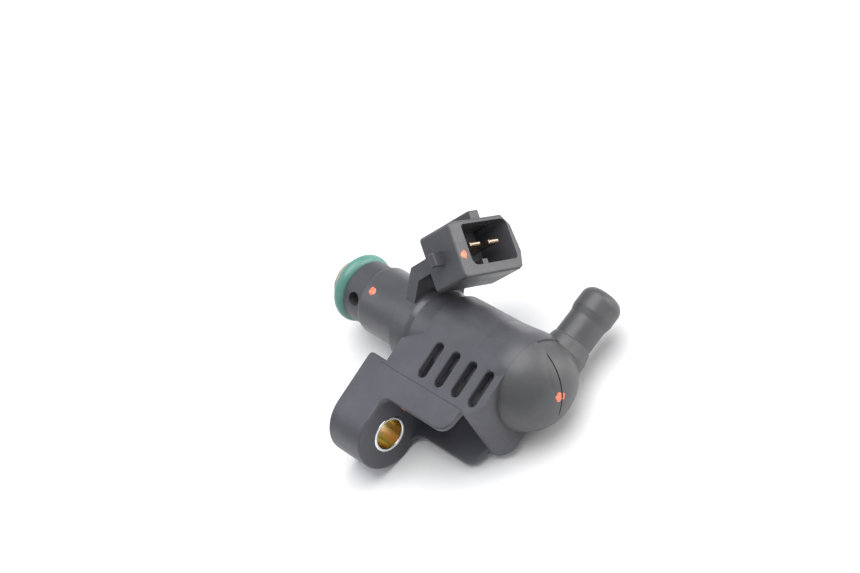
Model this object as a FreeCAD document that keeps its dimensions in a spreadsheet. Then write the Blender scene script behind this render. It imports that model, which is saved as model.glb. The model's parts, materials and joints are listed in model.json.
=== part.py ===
"""Side-entry fuel injector in its moulded holder, with the inlet elbow and the hose nipple.

Frame, in millimetres: X runs along the injector, from the nozzle to the inlet, and starts at the
middle of the lower seal ring. Z is up with the assembly lying on its flange ear, its holder and its
elbow. The holder and the connector are each drawn upright, then turned about X to where they belong.
"""
import FreeCAD, Part
import Sketcher
import math
import os

VECTOR = FreeCAD.Vector
AXIS_X = VECTOR(1, 0, 0)
AXIS_Y = VECTOR(0, 1, 0)

# name, value and meaning of every driving dimension
DIMENSIONS = [
    ("holder_roll", 10.4, "turn of the holder about X"),
    ("plug_roll", -44.4, "turn of the connector about X"),
    ("plug_tilt", 41.0, "rise of the plug opening from X"),
    ("nipple_roll", 4.3, "turn of the hose nipple about X from +Y"),
    ("play", 0.03, "gap between nested pieces"),
    ("skin", 0.1, "least overlap of pieces that are joined"),
    ("press_gap", 0.05, "radial gap of pieces pressed into the nozzle tube"),
    ("tool_reach", 40.0, "length of a cutting tool that goes right through"),
    ("mouth_lead", 5.0, "start of a bore before its mouth"),
    ("run_fit", 0.05, "radial clearance of the moving pieces"),
    # holder
    ("holder_radius", 10.05, "outside of the holder barrel"),
    ("flat_top", 10.02, "height of the slotted flat over the axis"),
    ("web_thick", 1.5, "thickness of the two walls"),
    ("web_low", -6.2, "underside of the lower wall"),
    ("lip_face", 30.4, "front face of the barrel"),
    ("flat_face", 26.2, "front face of the flat"),
    ("weld_face", 54.1, "joint between the holder and the elbow"),
    ("pocket_bore", 9.3, "bore round the injector body"),
    ("pocket_end", 33.2, "end of the wide bore"),
    ("seal_bore", 7.05, "bore round the upper seal"),
    ("ear_reach", 23.9, "bolt axis from the injector axis"),
    ("ear_lift", 1.9, "bolt axis over the injector axis"),
    ("ear_radius", 8.12, "outside of the ear"),
    ("ear_back", 20.9, "nozzle side of the flange"),
    ("ear_front", 31.0, "inlet side of the flange"),
    ("flange_inner", 11.6, "edge of the flange beside the injector"),
    ("slot_first", 36.0, "middle of the first slot"),
    ("slot_pitch", 5.0, "pitch of the slots"),
    ("slot_width", 2.3, "width of a slot"),
    ("slot_near", 2.9, "end of a slot nearest the axis"),
    ("slot_far", 11.1, "end of a slot furthest from the axis"),
    ("slot_depth", 2.3, "depth of a slot"),
    ("slot_bevel", 0.2, "bevel round the rim of a slot"),
    ("wall_round", 0.5, "rounding of a wall's free edge"),
    ("upper_reach", 18.4, "free edge of the upper wall from the axis"),
    ("upper_corner", 49.2, "rear corner of the upper wall"),
    ("lower_reach", 20.4, "free edge of the lower wall from the axis"),
    ("lower_corner", 48.0, "rear corner of the lower wall"),
    ("upper_blend", 1.8, "hollow corner between the ear and the upper wall"),
    ("lower_blend", 3.3, "hollow corner between the ear and the lower wall"),
    ("upper_waist_x", 50.0, "rear edge of the upper wall turns in, along X"),
    ("upper_waist_y", 13.0, "rear edge of the upper wall turns in, from the axis"),
    ("upper_end_x", 53.0, "rear end of the upper wall along X"),
    ("upper_end_y", 11.0, "rear end of the upper wall from the axis"),
    ("upper_corner_round", 3.2, "rounding of the rear corner of the upper wall"),
    ("lower_waist_x", 49.6, "rear edge of the lower wall turns in, along X"),
    ("lower_waist_y", 15.4, "rear edge of the lower wall turns in, from the axis"),
    ("lower_end_x", 52.4, "rear end of the lower wall along X"),
    ("lower_end_y", 13.6, "rear end of the lower wall from the axis"),
    ("lower_corner_round", 3.0, "rounding of the rear corner of the lower wall"),
    ("block_face", 50.0, "front of the block between the walls"),
    ("block_reach", 13.6, "front corner of the block from the axis"),
    ("block_mid_x", 51.4, "middle corner of the block along X"),
    ("block_mid_y", 12.6, "middle corner of the block from the axis"),
    ("block_end_x", 53.2, "rear corner of the block along X"),
    ("block_end_y", 10.8, "rear corner of the block from the axis"),
    ("block_round", 0.8, "rounding of the block's corners"),
    ("heel_at", 49.2, "middle of the rounded heel of the flange along X"),
    ("heel_reach", 11.1, "middle of the heel from the axis, at the underside"),
    ("heel_radius", 5.2, "radius of the heel"),
    ("heel_lean", 10.8, "lean of the heel towards the axis"),
    ("ear_round", 0.5, "rounding of the ear's edges"),
    ("ear_corner", 0.9, "rounding of the ear's corner beside the injector"),
    ("lap", 2.0, "overlap of pieces that are joined"),
    ("rear_inner", 9.0, "inner end of the rear edge of the flat"),
    ("waist_round", 1.8, "rounding where the rear edge of a wall turns in"),
    ("end_round", 1.6, "rounding at the rear end of a wall"),
    ("shoulder_far", 5.7, "outer end of the slanted edge of the flat"),
    ("shoulder_near", 2.5, "inner end of the slanted edge of the flat"),
    ("parting_at", 12.6, "parting line on the flat from the axis"),
    ("parting_width", 0.16, "width of the parting line"),
    ("parting_end", 50.4, "rear end of the parting line"),
    # elbow
    ("dome_centre", 51.1, "centre of the dome"),
    ("dome_radius", 10.6, "radius of the dome"),
    ("side_centre", 52.0, "centre of the side of the dome beside the nipple"),
    ("dome_start", 44.35, "start of the swell before the dome"),
    ("dome_blend", 50.18, "end of the swell, where the dome takes over"),
    ("dome_blend_radius", 10.56, "radius where the dome takes over"),
    ("seam_roll", 51.4, "turn of the dome's seam from the nipple"),
    ("bulge_at", 53.1, "centre of the bulge towards the nipple"),
    ("bulge_across", 1.0, "bulge centre towards the nipple"),
    ("bulge_radius", 9.05, "radius of the bulge"),
    ("groove_width", 0.28, "width of the groove along the seam"),
    ("groove_floor", 14.0, "radius of the floor of the groove"),
    ("groove_sink", 3.95, "floor centre behind the dome centre"),
    ("groove_lean", 24.0, "turn of the groove's middle from X"),
    ("nipple_at", 52.9, "axis of the nipple along X"),
    ("nipple_drop", 2.85, "nipple axis below the injector axis"),
    ("nipple_radius", 4.2, "barrel of the nipple"),
    ("nipple_root", 4.5, "inner end of the nipple's wall"),
    ("nipple_length", 24.4, "end of the nipple from the injector axis"),
    ("nipple_end_round", 2.4, "rounding of the end of the nipple"),
    ("bead_radius", 4.6, "bead that holds the hose"),
    ("collar_taper", 2.6, "length of the taper of the root"),
    ("collar_step", 0.25, "height of the end of the root over the barrel"),
    ("collar_top", 12.1, "end of the root of the nipple"),
    ("bead_start", 17.6, "start of the bead"),
    ("bead_ramp", 1.7, "length of the ramp up to the bead"),
    ("bead_round", 0.8, "rounding of the ramp"),
    ("collar_radius", 5.05, "root of the nipple"),
    ("fuel_bore", 2.5, "radius of the fuel way"),
    ("fuel_chamber", 4.4, "radius of the chamber over the injector's inlet"),
    ("spigot_radius", 6.9, "part of the elbow inside the holder"),
    ("spigot_face", 46.2, "inner end of the spigot"),
    # bush
    ("bush_radius", 4.0, "outside of the bush"),
    ("bush_bore", 3.3, "clearance for an M6 bolt"),
    ("bush_edge", 0.25, "rounding of the ends of the bush"),
    ("bush_proud", 0.15, "bush past each face of the ear"),
    # injector body
    ("seal_radius", 7.7, "outside of the lower seal ring"),
    ("seal_section", 3.3, "thickness of the lower seal ring"),
    ("tube_radius", 4.65, "nozzle tube and fixed core"),
    ("tube_bore", 3.7, "inside of the nozzle tube"),
    ("tip_face", -5.4, "end of the nozzle"),
    ("nose_radius", 3.8, "nose of the nozzle"),
    ("nose_chamfer", 0.5, "chamfer of the nose"),
    ("lip_front", -4.0, "nozzle side of the lip that holds the lower seal ring"),
    ("tip_radius", 4.9, "lip that holds the lower seal ring"),
    ("spray_window", 2.6, "opening round the spray holes"),
    ("collar_outer", 6.9, "outside of the seal collar"),
    ("collar_face", 1.75, "collar face at the seal ring"),
    ("body_face", 7.0, "front of the body"),
    ("body_radius", 7.72, "front barrel of the body"),
    ("flange_face", 19.7, "front of the body flange"),
    ("flange_radius", 9.6, "body flange"),
    ("flange_end", 24.5, "end of the body flange"),
    ("flange_foot", 0.45, "slopes at the front of the body flange"),
    ("flange_slope", 1.0, "slope at the back of the body flange"),
    ("flange_back_round", 1.6, "rounding at the back of the body flange"),
    ("body_face_round", 0.9, "rounding of the front of the body"),
    ("neck_radius", 9.2, "body inside the holder mouth"),
    ("body_end", 32.9, "end of the body"),
    ("can_radius", 7.05, "outside of the magnet housing"),
    ("collar_round", 0.3, "rounding of the seal collar"),
    ("hole_at", 4.9, "blind hole in the seal collar"),
    ("hole_radius", 1.55, "radius of the hole in the collar"),
    ("hole_roll", 43.2, "turn of the hole about X from +Z"),
    # connector
    ("face_x", 34.46, "middle of the plug face along X"),
    ("face_rise", 23.0, "middle of the plug face over the axis"),
    ("shroud_left", 8.6, "left side of the shroud from its middle"),
    ("shroud_right", 9.0, "right side of the shroud from its middle"),
    ("shroud_rise", 6.1, "half height of the shroud"),
    ("shroud_depth", 9.5, "depth of the shroud"),
    ("socket_half", 5.3, "half width of the socket"),
    ("shroud_drop", 5.95, "underside of the shroud from its middle"),
    ("low_inset", 1.9, "lower right corner of the shroud in from its widest place"),
    ("low_bevel", 0.5, "height of the bevel at that corner"),
    ("widest_drop", 2.2, "widest place of the shroud below its middle"),
    ("high_inset", 0.6, "right shoulder of the shroud in from its widest place"),
    ("shoulder_rise", 3.6, "right shoulder of the shroud over its middle"),
    ("top_inset", 2.4, "top right corner of the shroud in from its widest place"),
    ("latch_width", 2.6, "width of the latch rib"),
    ("latch_proud", 1.9, "height of the latch rib over the shroud"),
    ("latch_inset", 0.7, "latch rib behind the plug face"),
    ("key_width", 1.4, "width of the key in the socket"),
    ("key_rise", 1.5, "height of the key in the socket"),
    ("key_inset", 2.0, "key behind the plug face"),
    ("lug_round", 0.3, "rounding of the latch rib and the lugs"),
    ("shroud_round", 1.1, "rounding of the shroud's left corners"),
    ("shroud_edge", 0.5, "rounding of the shroud's rim"),
    ("socket_low_round", 1.5, "rounding of the lower left and the upper right corner of the socket"),
    ("socket_top_round", 0.8, "rounding of the other corners of the socket"),
    ("socket_flare", 7.6, "right side of the socket at its mouth"),
    ("lug_proud", 2.5, "height of a side lug over the shroud"),
    ("lug_face", 4.4, "side lug behind the plug face"),
    ("lug_length", 1.6, "length of a side lug"),
    ("lug_rise", 1.4, "half height of a side lug"),
    ("socket_top", 5.2, "top of the socket"),
    ("socket_floor", -3.7, "bottom of the socket"),
    ("socket_depth", 8.0, "depth of the socket"),
    ("blade_width", 2.8, "width of a terminal"),
    ("blade_thick", 0.8, "thickness of a terminal"),
    ("blade_pitch", 5.2, "pitch of the terminals"),
    ("blade_rise", 0.85, "terminal over the middle of the plug"),
    ("blade_tip", 0.3, "terminal tip below the plug face"),
    ("blade_root", 6.4, "part of a terminal behind the socket"),
    ("blade_bevel", 0.25, "bevel at the tip of a terminal"),
    ("leg_inset", 1.55, "leg of a terminal behind the inlet side of the arm"),
    ("leg_foot", 6.1, "lower end of a terminal's leg"),
    ("leg_top", 14.2, "upper end of a terminal's leg"),
    ("arm_half", 7.0, "half width of the arm"),
    ("arm_back", 20.8, "nozzle side of the arm"),
    ("arm_front", 23.6, "inlet side of the arm"),
    ("arm_foot", 5.0, "foot of the arm inside the body"),
    ("arm_bend", 13.7, "outer bend of the arm over the axis"),
    ("arm_tip_x", 27.1, "top of the arm inside the plug, along X"),
    ("arm_tip_rise", 19.4, "top of the arm inside the plug, over the axis"),
    ("arm_under_x", 29.2, "inner side of the arm at the plug, along X"),
    ("arm_under_rise", 17.0, "inner side of the arm at the plug, over the axis"),
    ("arm_inner_bend", 11.8, "inner bend of the arm over the axis"),
    ("arm_round", 0.5, "rounding of the arm's outer bend"),
    # valve
    ("ball_radius", 1.75, "valve ball"),
    ("ball_at", -0.9, "centre of the ball when it is shut"),
    ("needle_radius", 1.3, "outside of the needle tube"),
    ("needle_wall", 0.6, "wall of the needle tube"),
    ("port_radius", 0.45, "cross hole in the needle tube"),
    ("port_at", 3.1, "cross hole in the needle tube, along X"),
    ("way_radius", 0.5, "radius of the fuel ways past the ball and the armature"),
    ("guide_circle", 2.7, "circle of the fuel ways past the ball"),
    ("vent_circle", 2.4, "circle of the fuel ways through the armature"),
    ("armature_face", 9.6, "lower face of the armature"),
    ("armature_top", 16.0, "upper face of the armature"),
    ("core_face", 16.25, "lower face of the fixed core"),
    ("core_bore", 1.6, "bore of the fixed core"),
    ("spring_seat", 12.6, "lower end of the return spring"),
    ("spring_stop", 20.0, "upper end of the return spring"),
    ("adjuster_length", 6.0, "length of the adjusting tube"),
    ("adjuster_bore", 0.7, "bore of the adjusting tube"),
    ("spring_wire", 0.36, "wire of the return spring"),
    ("spring_radius", 1.0, "middle radius of the return spring"),
    ("spring_turns", 7.0, "turns of the return spring"),
    ("disc_face", -3.5, "outer side of the orifice disc"),
    ("disc_thick", 0.3, "thickness of the orifice disc"),
    ("spray_circle", 1.2, "radius of the circle of spray holes"),
    ("spray_radius", 0.15, "radius of a spray hole"),
    ("seat_end", -1.4, "inner end of the valve seat"),
    ("seat_bore", 0.8, "radius of the way through the seat"),
    ("guide_end", 0.1, "inner end of the ball guide"),
    ("tube_end", 12.4, "inner end of the nozzle tube"),
    # coil
    ("can_face", 8.0, "nozzle end of the magnet housing"),
    ("can_end", 26.0, "inlet end of the magnet housing"),
    ("can_wall", 0.6, "wall of the magnet housing"),
    ("can_lip", 0.2, "rim of the magnet housing past the washer"),
    ("can_floor", 1.2, "thickness of the end of the magnet housing"),
    ("bobbin_face", 12.6, "nozzle end of the bobbin"),
    ("bobbin_end", 24.5, "inlet end of the bobbin"),
    ("bobbin_hub", 5.2, "hub of the bobbin"),
    ("bobbin_cheek", 0.8, "thickness of a bobbin cheek"),
    ("coil_radius", 6.25, "outside of the winding"),
    # inlet side
    ("core_end", 32.0, "inlet end of the fixed core"),
    ("inlet_wall", 1.4, "wall of the inlet tube"),
    ("inlet_end", 42.0, "rim of the inlet tube"),
    ("inlet_lip", 0.7, "thickness of the rim of the inlet tube"),
    ("inlet_rim", 5.6, "radius of the rim of the inlet tube"),
    ("washer_face", 35.9, "nozzle side of the backup washer"),
    ("upper_seal_at", 38.5, "middle of the upper seal ring"),
    ("upper_seal_section", 2.36, "thickness of the upper seal ring"),
    ("filter_foot", 35.4, "lower end of the filter"),
    ("filter_radius", 3.1, "outside of the filter frame"),
    ("filter_inset", 0.4, "cap of the filter in from the rim of the inlet tube"),
    ("filter_floor", 0.8, "thickness of the lower end of the filter"),
    ("filter_rib", 0.7, "width of a filter rib"),
]

SIZE = {name: value for name, value, meaning in DIMENSIONS}
doc = FreeCAD.newDocument("fuel_injector")
sheet = doc.addObject("Spreadsheet::Sheet", "sizes")
for row, (name, value, meaning) in enumerate(DIMENSIONS, start=1):
    sheet.set("A%d" % row, meaning)
    sheet.set("B%d" % row, str(value))
    sheet.setAlias("B%d" % row, name)
doc.recompute()

NODES = []
TOUCH = 0.05
SLOT_COUNT = 4
SPRAY_COUNT = 4
GUIDE_COUNT = 6
VENT_COUNT = 3
PARALLEL = 0.01


def node(shape_object, label):
    """Name a finished sub-part; the label is also its file name."""
    shape_object.Label = label
    NODES.append(shape_object)
    return shape_object


def bind(target, **expressions):
    """Bind properties of an object to the sheet; a double underscore stands for a dot."""
    for path, expression in expressions.items():
        target.setExpression(path.replace("__", "."), str(expression))
    return target


def place(target, axis, angle, **bases):
    """Turn an object about an axis by a bound angle, with a bound base point."""
    target.Placement = FreeCAD.Placement(VECTOR(0, 0, 0), FreeCAD.Rotation(axis, 5.0))
    target.setExpression("Placement.Rotation.Angle", angle)
    for letter, expression in bases.items():
        target.setExpression("Placement.Base." + letter, expression)
    return target


def sketch_on(body, plane, name, lift=None):
    """An empty sketch on one of the body's own origin planes, lifted along its normal."""
    sketch = body.newObject("Sketcher::SketchObject", name)
    face = [item for item in body.Origin.OriginFeatures if item.Role == plane][0]
    sketch.AttachmentSupport = [(face, "")]
    sketch.MapMode = "FlatFace"
    if lift is not None:
        sketch.setExpression("AttachmentOffset.Base.z", lift)
    return sketch


def outline_in(sketch, corners):
    """A closed outline of straight lines, with both coordinates of every corner bound."""
    count = len(corners)
    turn = 2 * math.pi / count
    ring = [VECTOR(20 + 9 * math.cos(i * turn), 20 + 9 * math.sin(i * turn), 0) for i in range(count)]
    lines = []
    for i in range(count):
        lines.append(sketch.addGeometry(Part.LineSegment(ring[i], ring[(i + 1) % count]), False))
    for i in range(count):
        sketch.addConstraint(Sketcher.Constraint("Coincident", lines[i], 2, lines[(i + 1) % count], 1))
    for line, corner in zip(lines, corners):
        for kind, expression in zip(("DistanceX", "DistanceY"), corner):
            axis = -2 if kind == "DistanceX" else -1
            if str(expression) == "0":
                sketch.addConstraint(Sketcher.Constraint("PointOnObject", line, 1, axis))
                continue
            index = sketch.addConstraint(Sketcher.Constraint(kind, -1, 1, line, 1, 20.0))
            sketch.setExpression("Constraints[%d]" % index, str(expression))


def turned(name, corners):
    """A piece turned about X from an outline of (place along X, radius) corners."""
    body = doc.addObject("PartDesign::Body", name)
    sketch = sketch_on(body, "XZ_Plane", name + "_outline")
    outline_in(sketch, corners)
    revolution = body.newObject("PartDesign::Revolution", name + "_turning")
    revolution.Profile = sketch
    revolution.ReferenceAxis = (sketch, ["H_Axis"])
    revolution.Angle = 360
    doc.recompute()
    return body


def ring(name, near, far, inner, outer):
    """A plain turned ring between two places along X."""
    return turned(name, [(near, inner), (far, inner), (far, outer), (near, outer)])


def pad(name, plane, corners, lift, length):
    """A straight-sided prism that starts at lift along the plane's normal."""
    body = doc.addObject("PartDesign::Body", name)
    sketch = sketch_on(body, plane, name + "_outline", lift)
    outline_in(sketch, corners)
    prism = body.newObject("PartDesign::Pad", name + "_pad")
    prism.Profile = sketch
    prism.setExpression("Length", length)
    doc.recompute()
    return body


def edges_where(shape, test):
    """Names of the edges whose middle point and direction pass a test."""
    names = []
    for index, edge in enumerate(shape.Edges, start=1):
        middle = edge.valueAt((edge.FirstParameter + edge.LastParameter) / 2)
        first = edge.Vertexes[0].Point
        last = edge.Vertexes[-1].Point
        if test(middle, last - first):
            names.append("Edge%d" % index)
    return names


def soften(body, radius, test):
    """Round the chosen edges of a body's last feature."""
    base = body.Tip
    fillet = body.newObject("PartDesign::Fillet", base.Name + "_round")
    fillet.Base = (base, edges_where(base.Shape, test))
    fillet.Radius = radius
    doc.recompute()
    return body


def upright(direction):
    """True for an edge that runs along the local Z."""
    return abs(direction.z) > 0.5 and abs(direction.x) + abs(direction.y) < PARALLEL


def lengthwise(middle, direction):
    """True for an edge that runs along the local X."""
    return abs(direction.x) > 1


def block(name, **sizes):
    """A box bound to the sheet."""
    return bind(doc.addObject("Part::Box", name), **sizes)


def rod(name, radius, height, axis=AXIS_Y, angle="90", **bases):
    """A cylinder along X, or along another direction by its turn."""
    cylinder = bind(doc.addObject("Part::Cylinder", name), Radius=radius, Height=height)
    return place(cylinder, axis, angle, **bases)


def joined(name, shapes):
    fusion = doc.addObject("Part::MultiFuse", name)
    fusion.Shapes = shapes
    fusion.Refine = True
    return fusion


def cut(name, base, tool):
    difference = doc.addObject("Part::Cut", name)
    difference.Base = base
    difference.Tool = tool
    difference.Refine = True
    return difference


def common(name, base, tool):
    """The part of one piece that lies inside another."""
    overlap = doc.addObject("Part::Common", name)
    overlap.Base = base
    overlap.Tool = tool
    return overlap


def rounded(name, base, radius, test, kind="Part::Fillet"):
    """Round or bevel the chosen edges of a finished boolean."""
    doc.recompute()
    fillet = doc.addObject(kind, name)
    fillet.Base = base
    names = edges_where(base.Shape, test)
    fillet.Edges = [(int(edge[4:]), radius, radius) for edge in names]
    return fillet


# ---- holder: barrel, flat with slots, two walls, ear ------------------------------------------
# The holder is drawn with the ear towards -Y and the slotted flat on top.
def holder_wall(side, lift):
    """One wall of the flange: a plate beside the barrel with a rounded free end."""
    def own(name):
        return "sizes.%s_%s" % (side, name)

    def size(name):
        return SIZE["%s_%s" % (side, name)]

    hollow = "-%s - %s - sizes.skin" % (own("reach"), own("blend"))
    wall = pad(side + "_wall", "XY_Plane", [
        ("sizes.flat_face", "-sizes.shoulder_far"),
        ("sizes.lip_face", "-sizes.shoulder_near"),
        ("sizes.lip_face", "0"),
        ("sizes.weld_face", "0"),
        ("sizes.weld_face", "-sizes.rear_inner"),
        (own("end_x"), "-" + own("end_y")),
        (own("waist_x"), "-" + own("waist_y")),
        (own("corner"), "-" + own("reach")),
        ("sizes.ear_front", "-" + own("reach")),
        ("sizes.ear_front", hollow),
        ("sizes.ear_front - sizes.lap", hollow),
        ("sizes.ear_front - sizes.lap", "-sizes.flange_inner"),
        ("sizes.flat_face", "-sizes.flange_inner"),
    ], lift, "sizes.web_thick")

    def at(place_x, reach):
        return lambda middle, direction: (
            upright(direction)
            and math.hypot(middle.x - place_x, middle.y + reach) < TOUCH
        )

    def free_rim(middle, direction):
        outside = middle.x > SIZE["ear_front"] + size("blend") and middle.y < TOUCH - size("waist_y")
        return outside and abs(direction.z) < TOUCH

    soften(wall, size("blend"), at(SIZE["ear_front"], size("reach")))
    soften(wall, size("corner_round"), at(size("corner"), size("reach")))
    soften(wall, SIZE["waist_round"], at(size("waist_x"), size("waist_y")))
    soften(wall, SIZE["end_round"], at(size("end_x"), size("end_y")))
    soften(wall, SIZE["wall_round"], free_rim)
    return wall


upper_wall = holder_wall("upper", "sizes.flat_top - sizes.web_thick")
lower_wall = holder_wall("lower", "sizes.web_low")

end_block = pad("end_block", "XY_Plane", [
    ("sizes.block_face", "0"),
    ("sizes.block_face", "-sizes.block_reach"),
    ("sizes.block_mid_x", "-sizes.block_mid_y"),
    ("sizes.block_end_x", "-sizes.block_end_y"),
    ("sizes.weld_face", "-sizes.rear_inner"),
    ("sizes.weld_face", "0"),
], "sizes.web_low", "sizes.flat_top - sizes.web_low")
soften(end_block, SIZE["block_round"], lambda middle, direction: (
    upright(direction) and middle.y < TOUCH - SIZE["block_end_y"]))

heel_rod = rod(
    "heel_rod", "sizes.heel_radius", "sizes.tool_reach", axis=AXIS_X, angle="-sizes.heel_lean",
    x="sizes.heel_at", y="-sizes.heel_reach", z="sizes.web_low - sizes.lap")
heel_box = bind(
    block("heel_box", Length="sizes.weld_face - sizes.block_face", Width="sizes.tool_reach / 2",
          Height="sizes.flat_top - sizes.web_low"),
    Placement__Base__x="sizes.block_face", Placement__Base__y="-sizes.tool_reach / 2",
    Placement__Base__z="sizes.web_low")
heel = common("heel", heel_rod, heel_box)

flange_root = pad("flange_root", "XY_Plane", [
    ("sizes.flat_face", "-sizes.shoulder_far"),
    ("sizes.lip_face", "-sizes.shoulder_near"),
    ("sizes.ear_front", "-sizes.shoulder_near"),
    ("sizes.ear_front", "-sizes.flange_inner - sizes.lap"),
    ("sizes.flat_face", "-sizes.flange_inner - sizes.lap"),
], "sizes.web_low", "sizes.flat_top - sizes.web_low")

ear_box = bind(
    block("ear_box", Length="sizes.ear_front - sizes.ear_back",
          Width="sizes.ear_reach - sizes.flange_inner", Height="2 * sizes.ear_radius"),
    Placement__Base__x="sizes.ear_back",
    Placement__Base__y="-sizes.ear_reach",
    Placement__Base__z="sizes.ear_lift - sizes.ear_radius",
)
ear_end = rod(
    "ear_end", "sizes.ear_radius", "sizes.ear_front - sizes.ear_back",
    x="sizes.ear_back", y="-sizes.ear_reach", z="sizes.ear_lift")
ear_cornered = rounded(
    "ear_cornered", joined("ear_raw", [ear_box, ear_end]), SIZE["ear_corner"],
    lambda middle, direction: (
        upright(direction)
        and middle.x < SIZE["ear_back"] + TOUCH
        and middle.y > -SIZE["flange_inner"] - TOUCH))
ear = rounded(
    "ear", ear_cornered, SIZE["ear_round"],
    lambda middle, direction: middle.y < -SIZE["flange_inner"] - TOUCH and abs(direction.x) < PARALLEL)

barrel = rod(
    "barrel", "sizes.holder_radius", "sizes.weld_face - sizes.lip_face", x="sizes.lip_face")
swell = turned("swell", [
    ("sizes.dome_start", "5"),
    ("sizes.dome_start", "sizes.holder_radius"),
    ("sizes.dome_blend", "sizes.dome_blend_radius"),
    ("sizes.weld_face", "sizes.dome_blend_radius"),
    ("sizes.weld_face", "5"),
])
dome_root = rod(
    "dome_root", "sizes.dome_radius + 1", "sizes.weld_face - sizes.dome_blend", x="sizes.dome_blend")
dome_ball = bind(
    doc.addObject("Part::Sphere", "dome_ball"),
    Radius="sizes.dome_radius", Placement__Base__x="sizes.dome_centre")
dome_band = common("dome_band", dome_ball, dome_root)
swell_foot = rod(
    "swell_foot", "sizes.dome_radius + 1", "sizes.dome_blend - sizes.dome_start", x="sizes.dome_start")
dome_swell = joined("dome_swell", [common("swell_start", swell, swell_foot), dome_band])
holder_raw = joined(
    "holder_raw", [barrel, dome_swell, upper_wall, lower_wall, end_block, heel, flange_root, ear])

pocket = turned("holder_bore", [
    ("sizes.ear_back - sizes.mouth_lead", "0"),
    ("sizes.ear_back - sizes.mouth_lead", "sizes.pocket_bore"),
    ("sizes.pocket_end", "sizes.pocket_bore"),
    ("sizes.pocket_end", "sizes.seal_bore"),
    ("sizes.dome_centre + sizes.dome_radius + 2", "sizes.seal_bore"),
    ("sizes.dome_centre + sizes.dome_radius + 2", "0"),
])
bolt_hole = rod(
    "bolt_hole", "sizes.bush_radius + sizes.play", "sizes.tool_reach",
    x="sizes.ear_back - sizes.mouth_lead", y="-sizes.ear_reach", z="sizes.ear_lift")
slots = []
for i in range(SLOT_COUNT):
    middle = "sizes.slot_first + %d * sizes.slot_pitch" % i
    trough = bind(
        block("slot_%d" % i, Length="sizes.slot_width",
              Width="sizes.slot_far - sizes.slot_near - sizes.slot_width", Height="sizes.slot_depth + 1"),
        Placement__Base__x=middle + " - sizes.slot_width / 2",
        Placement__Base__y="-sizes.slot_far + sizes.slot_width / 2",
        Placement__Base__z="sizes.flat_top - sizes.slot_depth",
    )
    bevel = bind(
        doc.addObject("Part::Wedge", "slot_%d_bevel" % i),
        Xmin="-sizes.slot_width / 2", Xmax="sizes.slot_width / 2",
        X2min="-sizes.slot_width / 2 - 2 * sizes.slot_bevel",
        X2max="sizes.slot_width / 2 + 2 * sizes.slot_bevel",
        Ymin="0", Ymax="2 * sizes.slot_bevel", Zmin="0", Z2min="0",
        Zmax="sizes.slot_far - sizes.slot_near - sizes.slot_width",
        Z2max="sizes.slot_far - sizes.slot_near - sizes.slot_width")
    place(bevel, AXIS_X, "90", x=middle, y="-sizes.slot_near - sizes.slot_width / 2",
          z="sizes.flat_top - sizes.slot_bevel")
    slots += [trough, bevel]
    for name, end in (("near", "-sizes.slot_near - sizes.slot_width / 2"),
                      ("far", "-sizes.slot_far + sizes.slot_width / 2")):
        round_end = bind(
            doc.addObject("Part::Cylinder", "slot_%d_%s" % (i, name)),
            Radius="sizes.slot_width / 2", Height="sizes.slot_depth + 1",
            Placement__Base__x=middle,
            Placement__Base__y=end,
            Placement__Base__z="sizes.flat_top - sizes.slot_depth",
        )
        round_bevel = bind(
            doc.addObject("Part::Cone", "slot_%d_%s_bevel" % (i, name)),
            Radius1="sizes.slot_width / 2", Radius2="sizes.slot_width / 2 + 2 * sizes.slot_bevel",
            Height="2 * sizes.slot_bevel",
            Placement__Base__x=middle,
            Placement__Base__y=end,
            Placement__Base__z="sizes.flat_top - sizes.slot_bevel",
        )
        slots += [round_end, round_bevel]
parting = bind(
    block("parting", Length="sizes.parting_end - sizes.flat_face + 1", Width="sizes.parting_width",
          Height="sizes.parting_width"),
    Placement__Base__x="sizes.flat_face - 1", Placement__Base__y="-sizes.parting_at",
    Placement__Base__z="sizes.flat_top - sizes.parting_width")
notch_turn = "((sizes.nipple_roll - sizes.holder_roll) * 1 deg)"
notch_low = "(sizes.nipple_drop + sizes.collar_radius + sizes.play)"
nipple_notch = rod(
    "nipple_notch", "sizes.collar_radius + sizes.play", "sizes.tool_reach / 2",
    axis=AXIS_X, angle="sizes.nipple_roll - sizes.holder_roll - 90", x="sizes.nipple_at",
    y="sizes.nipple_root * cos%s + sizes.nipple_drop * sin%s" % (notch_turn, notch_turn),
    z="sizes.nipple_root * sin%s - sizes.nipple_drop * cos%s" % (notch_turn, notch_turn))
notch_mouth = bind(
    block("notch_mouth", Length="sizes.weld_face - sizes.nipple_at + sizes.lap", Width="sizes.tool_reach / 2",
          Height="2 * (sizes.collar_radius + sizes.play)"))
place(notch_mouth, AXIS_X, "sizes.nipple_roll - sizes.holder_roll", x="sizes.nipple_at",
      y="sizes.nipple_root * cos%s + %s * sin%s" % (notch_turn, notch_low, notch_turn),
      z="sizes.nipple_root * sin%s - %s * cos%s" % (notch_turn, notch_low, notch_turn))
holder_cuts = joined("holder_cuts", [pocket, bolt_hole, nipple_notch, notch_mouth] + slots)
slotted = cut("slotted", holder_raw, holder_cuts)


def slanted_edge(middle, direction):
    """True for the upper rim of the slanted front of the flat."""
    along = SIZE["flat_face"] + TOUCH < middle.x < SIZE["lip_face"] - TOUCH
    across = SIZE["shoulder_near"] < -middle.y < SIZE["shoulder_far"]
    return along and across and abs(middle.z - SIZE["flat_top"]) < TOUCH and abs(direction.z) < PARALLEL


edged = rounded("edged", slotted, SIZE["ear_round"], slanted_edge)
holder = node(cut("holder", edged, parting), "holder_housing")
place(holder, AXIS_X, "sizes.holder_roll")

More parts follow.
